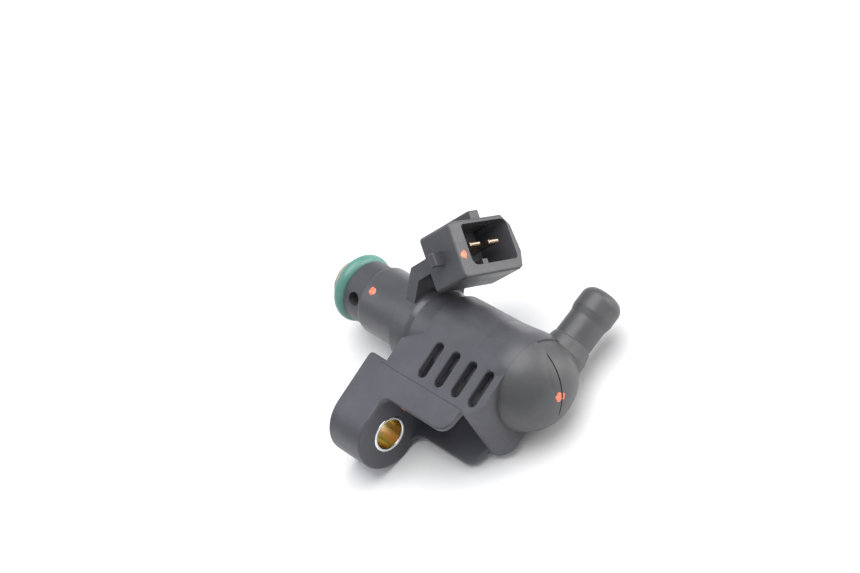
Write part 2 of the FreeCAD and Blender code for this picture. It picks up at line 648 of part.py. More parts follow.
# ---- inlet elbow: domed cap, spigot and hose nipple -------------------------------------------
# The nipple is drawn along +Y.
def ball_at_axis(name, radius, **bases):
    """A sphere bound to the sheet."""
    sphere = bind(doc.addObject("Part::Sphere", name), Radius=radius)
    return bind(sphere, **{"Placement__Base__" + letter: value for letter, value in bases.items()})


dome = ball_at_axis("dome", "sizes.dome_radius", x="sizes.dome_centre")
dome_side = ball_at_axis("dome_side", "sizes.holder_radius", x="sizes.side_centre")
bulge = ball_at_axis("bulge", "sizes.bulge_radius", x="sizes.bulge_at", y="sizes.bulge_across")
seam_side = bind(block("seam_side", Length="sizes.tool_reach", Width="sizes.tool_reach",
                       Height="sizes.tool_reach / 2"))
place(seam_side, AXIS_X, "sizes.seam_roll", x="sizes.dome_centre - sizes.tool_reach / 2",
      y="-sizes.tool_reach / 2 * cos(sizes.seam_roll * 1 deg)",
      z="-sizes.tool_reach / 2 * sin(sizes.seam_roll * 1 deg)")
lobe = common("lobe", dome, seam_side)
slab = bind(block("slab", Length="sizes.tool_reach", Width="sizes.tool_reach", Height="sizes.groove_width"))
place(slab, AXIS_X, "sizes.seam_roll", x="sizes.dome_centre",
      y="-sizes.tool_reach / 2 * cos(sizes.seam_roll * 1 deg)",
      z="-sizes.tool_reach / 2 * sin(sizes.seam_roll * 1 deg)")
groove_floor = ball_at_axis(
    "groove_floor", "sizes.groove_floor",
    x="sizes.dome_centre - sizes.groove_sink * cos(sizes.groove_lean * 1 deg)",
    y="-sizes.groove_sink * sin(sizes.groove_lean * 1 deg) * cos(sizes.seam_roll * 1 deg)",
    z="-sizes.groove_sink * sin(sizes.groove_lean * 1 deg) * sin(sizes.seam_roll * 1 deg)")
groove = cut("groove", slab, groove_floor)
behind_weld = bind(
    block("behind_weld", Length="sizes.tool_reach", Width="sizes.tool_reach", Height="sizes.tool_reach"),
    Placement__Base__x="sizes.weld_face + sizes.play - sizes.tool_reach",
    Placement__Base__y="-sizes.tool_reach / 2", Placement__Base__z="-sizes.tool_reach / 2")
dome_whole = cut("dome_whole", joined("dome_parts", [lobe, dome_side, bulge]), groove)
cap = cut("cap", dome_whole, behind_weld)
spigot = rod(
    "spigot", "sizes.spigot_radius", "sizes.weld_face - sizes.spigot_face + sizes.lap", x="sizes.spigot_face")
nipple = doc.addObject("PartDesign::Body", "nipple")
nipple_sketch = sketch_on(nipple, "XY_Plane", "nipple_outline")
outline_in(nipple_sketch, [
    ("0", "sizes.nipple_root"),
    ("sizes.collar_radius", "sizes.nipple_root"),
    ("sizes.collar_radius", "sizes.collar_top - sizes.collar_taper"),
    ("sizes.nipple_radius + sizes.collar_step", "sizes.collar_top"),
    ("sizes.nipple_radius", "sizes.collar_top + sizes.collar_step"),
    ("sizes.nipple_radius", "sizes.bead_start"),
    ("sizes.bead_radius", "sizes.bead_start + sizes.bead_ramp"),
    ("sizes.bead_radius", "sizes.nipple_length"),
    ("0", "sizes.nipple_length"),
])
nipple_turning = nipple.newObject("PartDesign::Revolution", "nipple_turning")
nipple_turning.Profile = nipple_sketch
nipple_turning.ReferenceAxis = (nipple_sketch, ["V_Axis"])
nipple_turning.Angle = 360
doc.recompute()


def ring_at(reach):
    """Test for a full circle round the nipple at a distance from the injector axis."""
    return lambda middle, direction: abs(middle.y - reach) < TOUCH and direction.Length < PARALLEL


soften(nipple, SIZE["nipple_end_round"], ring_at(SIZE["nipple_length"]))
soften(nipple, SIZE["bead_round"], ring_at(SIZE["bead_start"] + SIZE["bead_ramp"]))
soften(nipple, SIZE["bead_round"], ring_at(SIZE["bead_start"]))
soften(nipple, SIZE["bead_round"], ring_at(SIZE["collar_top"] - SIZE["collar_taper"]))
nipple.setExpression("Placement.Base.z", "-sizes.nipple_drop")
nipple.setExpression("Placement.Base.x", "sizes.nipple_at")
fuel_way = rod(
    "fuel_way", "sizes.fuel_chamber", "sizes.nipple_at - sizes.spigot_face", x="sizes.spigot_face - 1")
nipple_way = rod(
    "nipple_way", "sizes.fuel_bore", "sizes.tool_reach", axis=AXIS_X, angle="-90",
    x="sizes.nipple_at", y="-sizes.fuel_bore", z="-sizes.nipple_drop")
elbow_solid = joined("elbow_solid", [cap, spigot, nipple])
elbow_ways = joined("elbow_ways", [fuel_way, nipple_way])
elbow = node(cut("elbow", elbow_solid, elbow_ways), "inlet_elbow")
place(elbow, AXIS_X, "sizes.nipple_roll")

# ---- bush in the ear --------------------------------------------------------------------------
bush = node(ring("bush", "sizes.ear_back - sizes.bush_proud", "sizes.ear_front + sizes.bush_proud",
                 "sizes.bush_bore", "sizes.bush_radius"), "mounting_bush")
soften(bush, SIZE["bush_edge"], lambda middle, direction: True)
place(bush, AXIS_X, "sizes.holder_roll",
      y="-sizes.ear_reach * cos(sizes.holder_roll * 1 deg) - sizes.ear_lift * sin(sizes.holder_roll * 1 deg)",
      z="sizes.ear_lift * cos(sizes.holder_roll * 1 deg) - sizes.ear_reach * sin(sizes.holder_roll * 1 deg)")

# ---- injector body: turned barrel, arm and plug shroud ----------------------------------------
barrel_body = turned("body_turning", [
    ("sizes.body_face", "sizes.tube_radius + sizes.play"),
    ("sizes.body_face", "sizes.body_radius"),
    ("sizes.flange_face - sizes.flange_foot", "sizes.body_radius"),
    ("sizes.flange_face", "sizes.flange_radius - sizes.flange_foot"),
    ("sizes.flange_face + sizes.flange_foot", "sizes.flange_radius"),
    ("sizes.flange_end", "sizes.flange_radius"),
    ("sizes.flange_end + sizes.flange_slope", "sizes.neck_radius"),
    ("sizes.body_end", "sizes.neck_radius"),
    ("sizes.body_end", "sizes.tube_radius + sizes.play"),
])


def rim(place_x, radius):
    """Test for a full circle round X at a place and radius; its seam point lies on it."""
    return lambda middle, direction: (
        abs(middle.x - place_x) < TOUCH
        and abs(math.hypot(middle.y, middle.z) - radius) < TOUCH
    )


soften(barrel_body, SIZE["body_face_round"], rim(SIZE["body_face"], SIZE["body_radius"]))
soften(barrel_body, SIZE["flange_back_round"], rim(SIZE["flange_end"], SIZE["flange_radius"]))

arm = pad("arm", "XZ_Plane", [
    ("sizes.arm_back", "sizes.arm_foot"),
    ("sizes.arm_back", "sizes.arm_bend"),
    ("sizes.arm_tip_x", "sizes.arm_tip_rise"),
    ("sizes.arm_under_x", "sizes.arm_under_rise"),
    ("sizes.arm_front", "sizes.arm_inner_bend"),
    ("sizes.arm_front", "sizes.arm_foot"),
], "-sizes.arm_half", "2 * sizes.arm_half")
soften(arm, SIZE["arm_round"], lambda middle, direction: (
    abs(direction.y) > 1 and middle.x < SIZE["arm_back"] + TOUCH))

shroud = pad("shroud", "YZ_Plane", [
    ("-sizes.shroud_left", "sizes.shroud_rise"),
    ("-sizes.shroud_left", "-sizes.shroud_drop"),
    ("sizes.shroud_right - sizes.low_inset", "-sizes.shroud_drop"),
    ("sizes.shroud_right - sizes.low_inset / 2", "-sizes.shroud_drop + sizes.low_bevel"),
    ("sizes.shroud_right", "-sizes.widest_drop"),
    ("sizes.shroud_right - sizes.high_inset", "sizes.shoulder_rise"),
    ("sizes.shroud_right - sizes.top_inset", "sizes.shroud_rise"),
], "-sizes.shroud_depth", "sizes.shroud_depth")
soften(shroud, SIZE["shroud_round"], lambda middle, direction: (
    lengthwise(middle, direction) and middle.y < 0))
soften(shroud, SIZE["shroud_edge"], lambda middle, direction: (
    abs(middle.x) < TOUCH and direction.x < PARALLEL))

socket = pad("socket", "YZ_Plane", [
    ("-sizes.socket_half", "sizes.socket_top"),
    ("-sizes.socket_half", "sizes.socket_floor"),
    ("sizes.socket_half", "sizes.socket_floor"),
    ("sizes.socket_half", "sizes.socket_top"),
], "-sizes.socket_depth", "sizes.socket_depth + 1")
soften(socket, SIZE["socket_low_round"], lambda middle, direction: (
    lengthwise(middle, direction) and middle.y < 0 and middle.z < 0))
soften(socket, SIZE["socket_top_round"], lambda middle, direction: (
    lengthwise(middle, direction) and middle.y < 0 and middle.z > 0))
socket_flare = pad("socket_flare", "XY_Plane", [
    ("-sizes.socket_depth", "0"),
    ("1", "0"),
    ("1", "sizes.socket_flare"),
    ("-sizes.socket_depth", "sizes.socket_half"),
], "sizes.socket_floor", "sizes.socket_top - sizes.socket_floor")
soften(socket_flare, SIZE["socket_low_round"], lambda middle, direction: (
    lengthwise(middle, direction) and middle.y > SIZE["socket_half"] and middle.z > 0))
soften(socket_flare, SIZE["socket_top_round"], lambda middle, direction: (
    lengthwise(middle, direction) and middle.y > SIZE["socket_half"] and middle.z < 0))

latch_rib = bind(
    block("latch_rib", Length="sizes.shroud_depth - sizes.latch_inset", Width="sizes.latch_width",
          Height="sizes.latch_proud + 1"),
    Placement__Base__x="-sizes.shroud_depth", Placement__Base__y="-sizes.latch_width / 2",
    Placement__Base__z="sizes.shroud_rise - 1")
side_lugs = bind(
    block("side_lugs", Length="sizes.lug_length",
          Width="sizes.shroud_left + sizes.shroud_right + 2 * sizes.lug_proud",
          Height="2 * sizes.lug_rise"),
    Placement__Base__x="-sizes.lug_face - sizes.lug_length",
    Placement__Base__y="-sizes.shroud_left - sizes.lug_proud", Placement__Base__z="-sizes.lug_rise")
key_rib = bind(
    block("key_rib", Length="sizes.socket_depth - sizes.key_inset", Width="sizes.key_width",
          Height="sizes.key_rise + sizes.skin"),
    Placement__Base__x="-sizes.socket_depth", Placement__Base__y="-sizes.key_width / 2",
    Placement__Base__z="sizes.socket_floor - sizes.skin")
lugs = rounded(
    "lugs", joined("lugs_raw", [latch_rib, side_lugs]), SIZE["lug_round"],
    lambda middle, direction: middle.z > SIZE["shroud_rise"] + 1 or abs(middle.y) > SIZE["shroud_right"] + 1)
plug_solid = joined("plug_solid", [shroud, lugs])
plug_hollow = cut("plug_hollow", plug_solid, joined("socket_space", [socket, socket_flare]))
plug = joined("plug", [plug_hollow, key_rib])
place(plug, AXIS_Y, "-sizes.plug_tilt", x="sizes.face_x", z="sizes.face_rise")

# ---- terminals --------------------------------------------------------------------------------
# Each blade runs straight back from the socket, then its leg goes down the arm to the coil.
blade_reach = "(sizes.socket_depth + sizes.blade_root + sizes.blade_tip)"
blade_lift = "(sizes.blade_rise - sizes.blade_thick / 2)"
tilt_cos = "cos(sizes.plug_tilt * 1 deg)"
tilt_sin = "sin(sizes.plug_tilt * 1 deg)"
terminals = []
for side, name in ((-1, "terminal_left"), (1, "terminal_right")):
    middle = "%d * sizes.blade_pitch / 2" % side
    blank = block(name + "_blank", Length="sizes.socket_depth + sizes.blade_root", Width="sizes.blade_width",
                  Height="sizes.blade_thick")
    blade = rounded(
        name + "_blade", blank, SIZE["blade_bevel"],
        lambda point, direction: point.x > SIZE["socket_depth"] + SIZE["blade_root"] - TOUCH,
        "Part::Chamfer")
    place(blade, AXIS_Y, "-sizes.plug_tilt",
          x="sizes.face_x - %s * %s - %s * %s" % (blade_reach, tilt_cos, blade_lift, tilt_sin),
          y=middle + " - sizes.blade_width / 2",
          z="sizes.face_rise - %s * %s + %s * %s" % (blade_reach, tilt_sin, blade_lift, tilt_cos))
    leg = bind(
        block(name + "_leg", Length="sizes.blade_thick", Width="sizes.blade_width / 2",
              Height="sizes.leg_top - sizes.leg_foot"),
        Placement__Base__x="sizes.arm_front - sizes.leg_inset",
        Placement__Base__y=middle + " - sizes.blade_width / 4", Placement__Base__z="sizes.leg_foot")
    terminals.append(joined(name + "_shape", [blade, leg]))

body_raw = joined("body_raw", [barrel_body, arm, plug])
can_pocket = ring("can_pocket", "sizes.can_face - sizes.play", "sizes.can_end + sizes.play",
                  "sizes.tube_radius - sizes.skin", "sizes.can_radius + sizes.play")
terminal_ways = joined("terminal_ways", [can_pocket] + terminals)
body = node(cut("body", body_raw, terminal_ways), "injector_overmould")
place(body, AXIS_X, "sizes.plug_roll")
for terminal, name in zip(terminals, ("terminal_left", "terminal_right")):
    rolled = doc.addObject("Part::Refine", name + "_rolled")
    rolled.Source = terminal
    node(place(rolled, AXIS_X, "sizes.plug_roll"), name)

# ---- seals and collar at the nozzle -----------------------------------------------------------
def seal_ring(name, place_x, outer, section):
    """A rubber ring round X, flattened where it sits on the tube."""
    torus = bind(
        doc.addObject("Part::Torus", name),
        Radius1="%s - %s / 2" % (outer, section), Radius2=section + " / 2")
    place(torus, AXIS_Y, "90", x=place_x)
    seat = rod(name + "_seat", "sizes.tube_radius + sizes.play", section,
               x="%s - %s / 2" % (place_x, section))
    return node(cut(name + "_flattened", torus, seat), name + "_ring")


seal_ring("lower_seal", "0", "sizes.seal_radius", "sizes.seal_section")
seal_ring("upper_seal", "sizes.upper_seal_at", "sizes.tube_radius + sizes.upper_seal_section",
          "sizes.upper_seal_section")

collar_ring = ring("collar_ring", "sizes.collar_face", "sizes.body_face - sizes.play",
                   "sizes.tube_radius + sizes.play", "sizes.collar_outer")
soften(collar_ring, SIZE["collar_round"], rim(SIZE["collar_face"], SIZE["collar_outer"]))
collar_hole = bind(
    doc.addObject("Part::Cylinder", "collar_hole"), Radius="sizes.hole_radius", Height="sizes.tool_reach")
place(collar_hole, AXIS_X, "sizes.hole_roll", x="sizes.hole_at")
node(cut("collar", collar_ring, collar_hole), "seal_collar")

node(ring("washer", "sizes.washer_face", "sizes.washer_face + 1", "sizes.tube_radius + sizes.play",
          "sizes.seal_bore - sizes.skin"), "backup_washer")

# ---- nozzle: tube, orifice disc, seat, guide --------------------------------------------------
shell = turned("shell_turning", [
    ("sizes.tip_face", "sizes.spray_window"),
    ("sizes.tip_face", "sizes.nose_radius - sizes.nose_chamfer"),
    ("sizes.tip_face + sizes.nose_chamfer", "sizes.nose_radius"),
    ("sizes.lip_front", "sizes.nose_radius"),
    ("sizes.lip_front", "sizes.tip_radius"),
    ("-sizes.seal_section / 2 - sizes.play", "sizes.tip_radius"),
    ("-sizes.seal_section / 2 - sizes.play", "sizes.tube_radius"),
    ("sizes.tube_end", "sizes.tube_radius"),
    ("sizes.tube_end", "sizes.tube_bore"),
    ("sizes.disc_face", "sizes.tube_bore"),
    ("sizes.disc_face", "sizes.spray_window"),
])
node(shell, "nozzle_shell")


def ring_of_holes(name, count, circle, radius, start, length):
    """Round holes along X, evenly spaced on a circle round X."""
    holes = []
    for i in range(count):
        turn = 2 * math.pi * i / count
        holes.append(rod(
            "%s_%d" % (name, i), radius, length, x=start,
            y="(%s) * %.6f" % (circle, math.cos(turn)), z="(%s) * %.6f" % (circle, math.sin(turn))))
    return joined(name, holes)


plate = ring("orifice_plate", "sizes.disc_face + sizes.play / 3", "sizes.disc_face + sizes.disc_thick",
             "0", "sizes.tube_bore - sizes.press_gap")
node(cut("orifices", plate, ring_of_holes(
    "spray_holes", SPRAY_COUNT, "sizes.spray_circle", "sizes.spray_radius",
    "sizes.disc_face - 1", "2")), "orifice_disc")

# The cone of the seat clears the shut ball by the running clearance.
cone_shift = "(-sizes.ball_at + (sizes.ball_radius + sizes.run_fit) * sqrt(2))"
node(turned("seat_turning", [
    ("sizes.disc_face + sizes.disc_thick + sizes.play", "sizes.seat_bore"),
    ("sizes.disc_face + sizes.disc_thick + sizes.play", "sizes.tube_bore - sizes.press_gap"),
    ("sizes.seat_end", "sizes.tube_bore - sizes.press_gap"),
    ("sizes.seat_end", "sizes.seat_end + " + cone_shift),
    ("sizes.seat_bore - " + cone_shift, "sizes.seat_bore"),
]), "valve_seat")

guide_ring = ring("guide_ring", "sizes.seat_end + sizes.play", "sizes.guide_end",
                  "sizes.ball_radius + sizes.run_fit", "sizes.tube_bore - sizes.press_gap")
node(cut("guide", guide_ring, ring_of_holes(
    "guide_ways", GUIDE_COUNT, "sizes.guide_circle", "sizes.way_radius",
    "sizes.seat_end - 1", "sizes.tool_reach")), "ball_guide")

# ---- moving needle: ball, tube, armature ------------------------------------------------------
node(bind(doc.addObject("Part::Sphere", "ball"), Radius="sizes.ball_radius",
          Placement__Base__x="sizes.ball_at"), "valve_ball")

tube_ring = ring(
    "needle_ring", "sizes.ball_at + sizes.ball_radius - sizes.skin", "sizes.spring_seat - sizes.play",
    "sizes.needle_radius - sizes.needle_wall", "sizes.needle_radius")
tube_port = bind(
    doc.addObject("Part::Cylinder", "needle_port"), Radius="sizes.port_radius",
    Height="4 * sizes.needle_radius",
    Placement__Base__x="sizes.port_at", Placement__Base__z="-2 * sizes.needle_radius")
node(cut("needle", tube_ring, tube_port), "needle_tube")

armature_ring = ring("armature_ring", "sizes.armature_face", "sizes.armature_top",
                     "sizes.needle_radius + sizes.play", "sizes.tube_bore - sizes.run_fit")
node(cut("plunger", armature_ring, ring_of_holes(
    "armature_ways", VENT_COUNT, "sizes.vent_circle", "sizes.way_radius",
    "sizes.armature_face - 1", "sizes.tool_reach")), "armature")

# ---- spring, fixed core and inlet tube --------------------------------------------------------
wire = sheet.get("spring_wire")
mean_radius = sheet.get("spring_radius")
climb = sheet.get("spring_stop") - sheet.get("spring_seat") - wire
helix = Part.makeHelix(climb / sheet.get("spring_turns"), climb, mean_radius)
section = Part.Wire(Part.makeCircle(wire / 2, VECTOR(mean_radius, 0, 0), VECTOR(0, 1, 0)))
spring = doc.addObject("Part::Feature", "spring")
spring.Shape = Part.Wire(helix.Edges).makePipeShell([section], True, True)
spring.Placement = FreeCAD.Placement(
    VECTOR(sheet.get("spring_seat") + wire / 2, 0, 0), FreeCAD.Rotation(AXIS_Y, 90))
node(spring, "return_spring")

node(ring("adjuster", "sizes.spring_stop + sizes.play", "sizes.spring_stop + sizes.adjuster_length",
          "sizes.adjuster_bore", "sizes.core_bore - sizes.play"), "adjusting_tube")
node(ring("core", "sizes.core_face", "sizes.core_end", "sizes.core_bore", "sizes.tube_radius"),
     "fixed_core")
node(ring("brazed_ring", "sizes.tube_end + sizes.play", "sizes.core_face - sizes.play",
          "sizes.tube_bore", "sizes.tube_radius"), "nonmagnetic_ring")
node(turned("inlet_turning", [
    ("sizes.core_end + sizes.play", "sizes.tube_radius - sizes.inlet_wall"),
    ("sizes.core_end + sizes.play", "sizes.tube_radius"),
    ("sizes.inlet_end - 2 * sizes.inlet_lip", "sizes.tube_radius"),
    ("sizes.inlet_end - sizes.inlet_lip", "sizes.inlet_rim"),
    ("sizes.inlet_end", "sizes.inlet_rim"),
    ("sizes.inlet_end", "sizes.tube_radius - sizes.inlet_wall"),
]), "inlet_tube")

# ---- coil: magnet housing, washer, bobbin, winding --------------------------------------------
can_ring = turned("can_turning", [
    ("sizes.can_face", "sizes.tube_radius + sizes.play"),
    ("sizes.can_face", "sizes.can_radius"),
    ("sizes.can_end", "sizes.can_radius"),
    ("sizes.can_end", "sizes.can_radius - sizes.can_wall"),
    ("sizes.can_face + sizes.can_floor", "sizes.can_radius - sizes.can_wall"),
    ("sizes.can_face + sizes.can_floor", "sizes.tube_radius + sizes.play"),
])
# The notch lets the terminals' legs in; the housing then turns with the connector.
can_notch = bind(
    block("can_notch", Length="sizes.tool_reach", Width="sizes.blade_pitch + sizes.blade_width",
          Height="sizes.tool_reach"),
    Placement__Base__x="sizes.arm_front - 2",
    Placement__Base__y="-(sizes.blade_pitch + sizes.blade_width) / 2",
    Placement__Base__z="sizes.leg_foot - 2")
can = node(cut("can", can_ring, can_notch), "magnet_housing")
place(can, AXIS_X, "sizes.plug_roll")

node(ring("keeper", "sizes.bobbin_end + sizes.play", "sizes.can_end - sizes.can_lip",
          "sizes.tube_radius + sizes.play", "sizes.can_radius - sizes.can_wall - sizes.play"),
     "flux_washer")
node(turned("bobbin", [
    ("sizes.bobbin_face", "sizes.tube_radius + sizes.play"),
    ("sizes.bobbin_face", "sizes.can_radius - sizes.can_wall - sizes.play"),
    ("sizes.bobbin_face + sizes.bobbin_cheek", "sizes.can_radius - sizes.can_wall - sizes.play"),
    ("sizes.bobbin_face + sizes.bobbin_cheek", "sizes.bobbin_hub"),
    ("sizes.bobbin_end - sizes.bobbin_cheek", "sizes.bobbin_hub"),
    ("sizes.bobbin_end - sizes.bobbin_cheek", "sizes.can_radius - sizes.can_wall - sizes.play"),
    ("sizes.bobbin_end", "sizes.can_radius - sizes.can_wall - sizes.play"),
    ("sizes.bobbin_end", "sizes.tube_radius + sizes.play"),
]), "coil_bobbin")
node(ring("winding", "sizes.bobbin_face + sizes.bobbin_cheek + sizes.play",
          "sizes.bobbin_end - sizes.bobbin_cheek - sizes.play",
          "sizes.bobbin_hub + sizes.play", "sizes.coil_radius"), "coil_winding")

# ---- fuel filter in the inlet tube ------------------------------------------------------------
filter_cap = turned("filter_cap", [
    ("sizes.inlet_end - 2", "sizes.filter_radius - sizes.filter_rib"),
    ("sizes.inlet_end - 2", "sizes.filter_radius"),
    ("sizes.inlet_end + sizes.play", "sizes.filter_radius"),
    ("sizes.inlet_end + sizes.play", "sizes.inlet_rim - sizes.filter_inset"),
    ("sizes.inlet_end + 1", "sizes.inlet_rim - sizes.filter_inset"),
    ("sizes.inlet_end + 1", "sizes.filter_radius - sizes.filter_rib"),
])
filter_end = ring("filter_end", "sizes.filter_foot", "sizes.filter_foot + sizes.filter_floor",
                  "sizes.way_radius", "sizes.filter_radius")
filter_ribs = [
    bind(block("filter_rib_%d" % i, Length="sizes.inlet_end - 1 - sizes.filter_foot",
               Width="sizes.filter_rib", Height="sizes.filter_rib"),
         Placement__Base__x="sizes.filter_foot + sizes.skin",
         Placement__Base__y=across, Placement__Base__z=up)
    for i, (across, up) in enumerate([
        ("-sizes.filter_rib / 2", "sizes.filter_radius - sizes.skin - sizes.filter_rib"),
        ("-sizes.filter_rib / 2", "sizes.skin - sizes.filter_radius"),
        ("sizes.filter_radius - sizes.skin - sizes.filter_rib", "-sizes.filter_rib / 2"),
        ("sizes.skin - sizes.filter_radius", "-sizes.filter_rib / 2"),
    ])
]
node(joined("filter", [filter_cap, filter_end] + filter_ribs), "filter_frame")
node(ring("mesh", "sizes.filter_foot + sizes.filter_floor + sizes.play", "sizes.inlet_end",
          "sizes.filter_radius - sizes.filter_rib - 3 * sizes.skin",
          "sizes.filter_radius - sizes.filter_rib - 1.5 * sizes.skin"), "filter_mesh")

# ---- checks and export ------------------------------------------------------------------------
doc.recompute()
for item in doc.Objects:
    if "Invalid" in item.State or "Error" in item.State:
        raise RuntimeError("%s did not build: %s" % (item.Name, item.State))
for item in NODES:
    if item.Shape.isNull() or not item.Shape.isValid() or not item.Shape.Solids:
        raise RuntimeError("%s has no valid shape" % item.Label)
os.makedirs("parts", exist_ok=True)
for item in NODES:
    item.Shape.exportStep("parts/%s.step" % item.Label)
    print("%-20s %d solid %10.2f mm3" % (item.Label, len(item.Shape.Solids), item.Shape.Volume))
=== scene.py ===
"""Looks of a side-entry fuel injector in its moulded holder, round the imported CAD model.

Everything is in metres, in the model's own frame: X along the injector from the nozzle to the inlet,
Z up, and the part lying on its flange ear, its holder and its dome.
"""
import json
import math
import random
import bpy
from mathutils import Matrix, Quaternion, Vector
from mathutils.bvhtree import BVHTree


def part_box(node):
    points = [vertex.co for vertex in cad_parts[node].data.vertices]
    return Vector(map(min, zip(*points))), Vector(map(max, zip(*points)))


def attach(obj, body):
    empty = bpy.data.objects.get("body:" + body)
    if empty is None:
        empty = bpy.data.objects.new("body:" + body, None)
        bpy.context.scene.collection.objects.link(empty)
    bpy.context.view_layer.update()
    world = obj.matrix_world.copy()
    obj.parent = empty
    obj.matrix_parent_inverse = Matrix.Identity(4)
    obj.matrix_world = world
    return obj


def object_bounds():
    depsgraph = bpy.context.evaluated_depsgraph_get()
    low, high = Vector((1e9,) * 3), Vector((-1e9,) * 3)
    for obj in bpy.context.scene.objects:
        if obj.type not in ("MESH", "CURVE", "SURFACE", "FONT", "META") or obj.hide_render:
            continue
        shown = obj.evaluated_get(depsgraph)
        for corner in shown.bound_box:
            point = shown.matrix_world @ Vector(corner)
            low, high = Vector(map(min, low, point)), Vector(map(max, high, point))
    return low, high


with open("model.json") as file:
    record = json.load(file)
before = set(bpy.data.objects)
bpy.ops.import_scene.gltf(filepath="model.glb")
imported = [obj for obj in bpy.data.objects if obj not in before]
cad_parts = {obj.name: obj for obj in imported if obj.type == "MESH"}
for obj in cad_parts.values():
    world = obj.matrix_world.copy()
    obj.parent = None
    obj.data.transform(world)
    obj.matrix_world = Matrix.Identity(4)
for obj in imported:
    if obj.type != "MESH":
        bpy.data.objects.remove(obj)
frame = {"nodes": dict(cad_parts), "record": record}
cad_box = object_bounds()

MM = 0.001
FLOOR = cad_box[0][2]
BUSH_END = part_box("mounting_bush")[1][0]

# the part of a noise that turns into roughness
ROUGH_FROM, ROUGH_TO = 0.3, 0.7
# cosine between the rounded and the true normal, on a flat and on a sharp edge
EDGE_FLAT, EDGE_SHARP = 0.96, 0.72
BEVEL_SAMPLES = 6

# how the parts are turned in the model: the holder and the connector about X, the plug's tilt
HOLDER_ROLL = 10.4
PLUG_ROLL = -44.4
PLUG_TILT = math.radians(41.0)
# middle of the plug's face along X and over the injector's axis, in millimetres
FACE_X = 34.46
FACE_RISE = 23.0
# centre of the dome along X and its radius, in millimetres
DOME_AT = 51.1
DOME_RADIUS = 10.6

# a dab of paint: its rings and spokes, where its rays start, and its crown and the sink of its rim
RINGS, SPOKES = 7, 40
WAVES = (2, 3, 5, 7)
WAVE_LOW, WAVE_HIGH = 0.03, 0.12
RAY_START = 2.0 * MM
CROWN = 0.07 * MM
RIM_SINK = 0.01 * MM

FLOOR_SIZE = 3.0
FLOOR_GAP = 0.02 * MM

SKY = (0.93, 0.95, 1.0, 1.0)
SKY_STRENGTH = 0.58
LIT_POINT = (0.03, 0.0, 0.0)
# name, place, width, power and colour of each lamp
LAMPS = [
    ("overhead", (0.05, 0.25, 0.9), 0.9, 10.5, (1.0, 1.0, 1.0)),
    ("left_sky", (-0.6, -0.3, 0.6), 0.5, 1.2, (0.84, 0.88, 1.0)),
    ("right_warm", (0.55, 0.75, 0.2), 0.6, 5.5, (1.0, 0.97, 0.92)),
]

CAMERA_PLACE = Vector((0.30110, -0.09133, 0.31178))
CAMERA_AIM = Vector((0.01529, 0.00752, 0.00050))
CAMERA_ROLL = math.radians(-35.4)
CAMERA_ANGLE = math.radians(24.0)
CAMERA_NEAR = 0.01


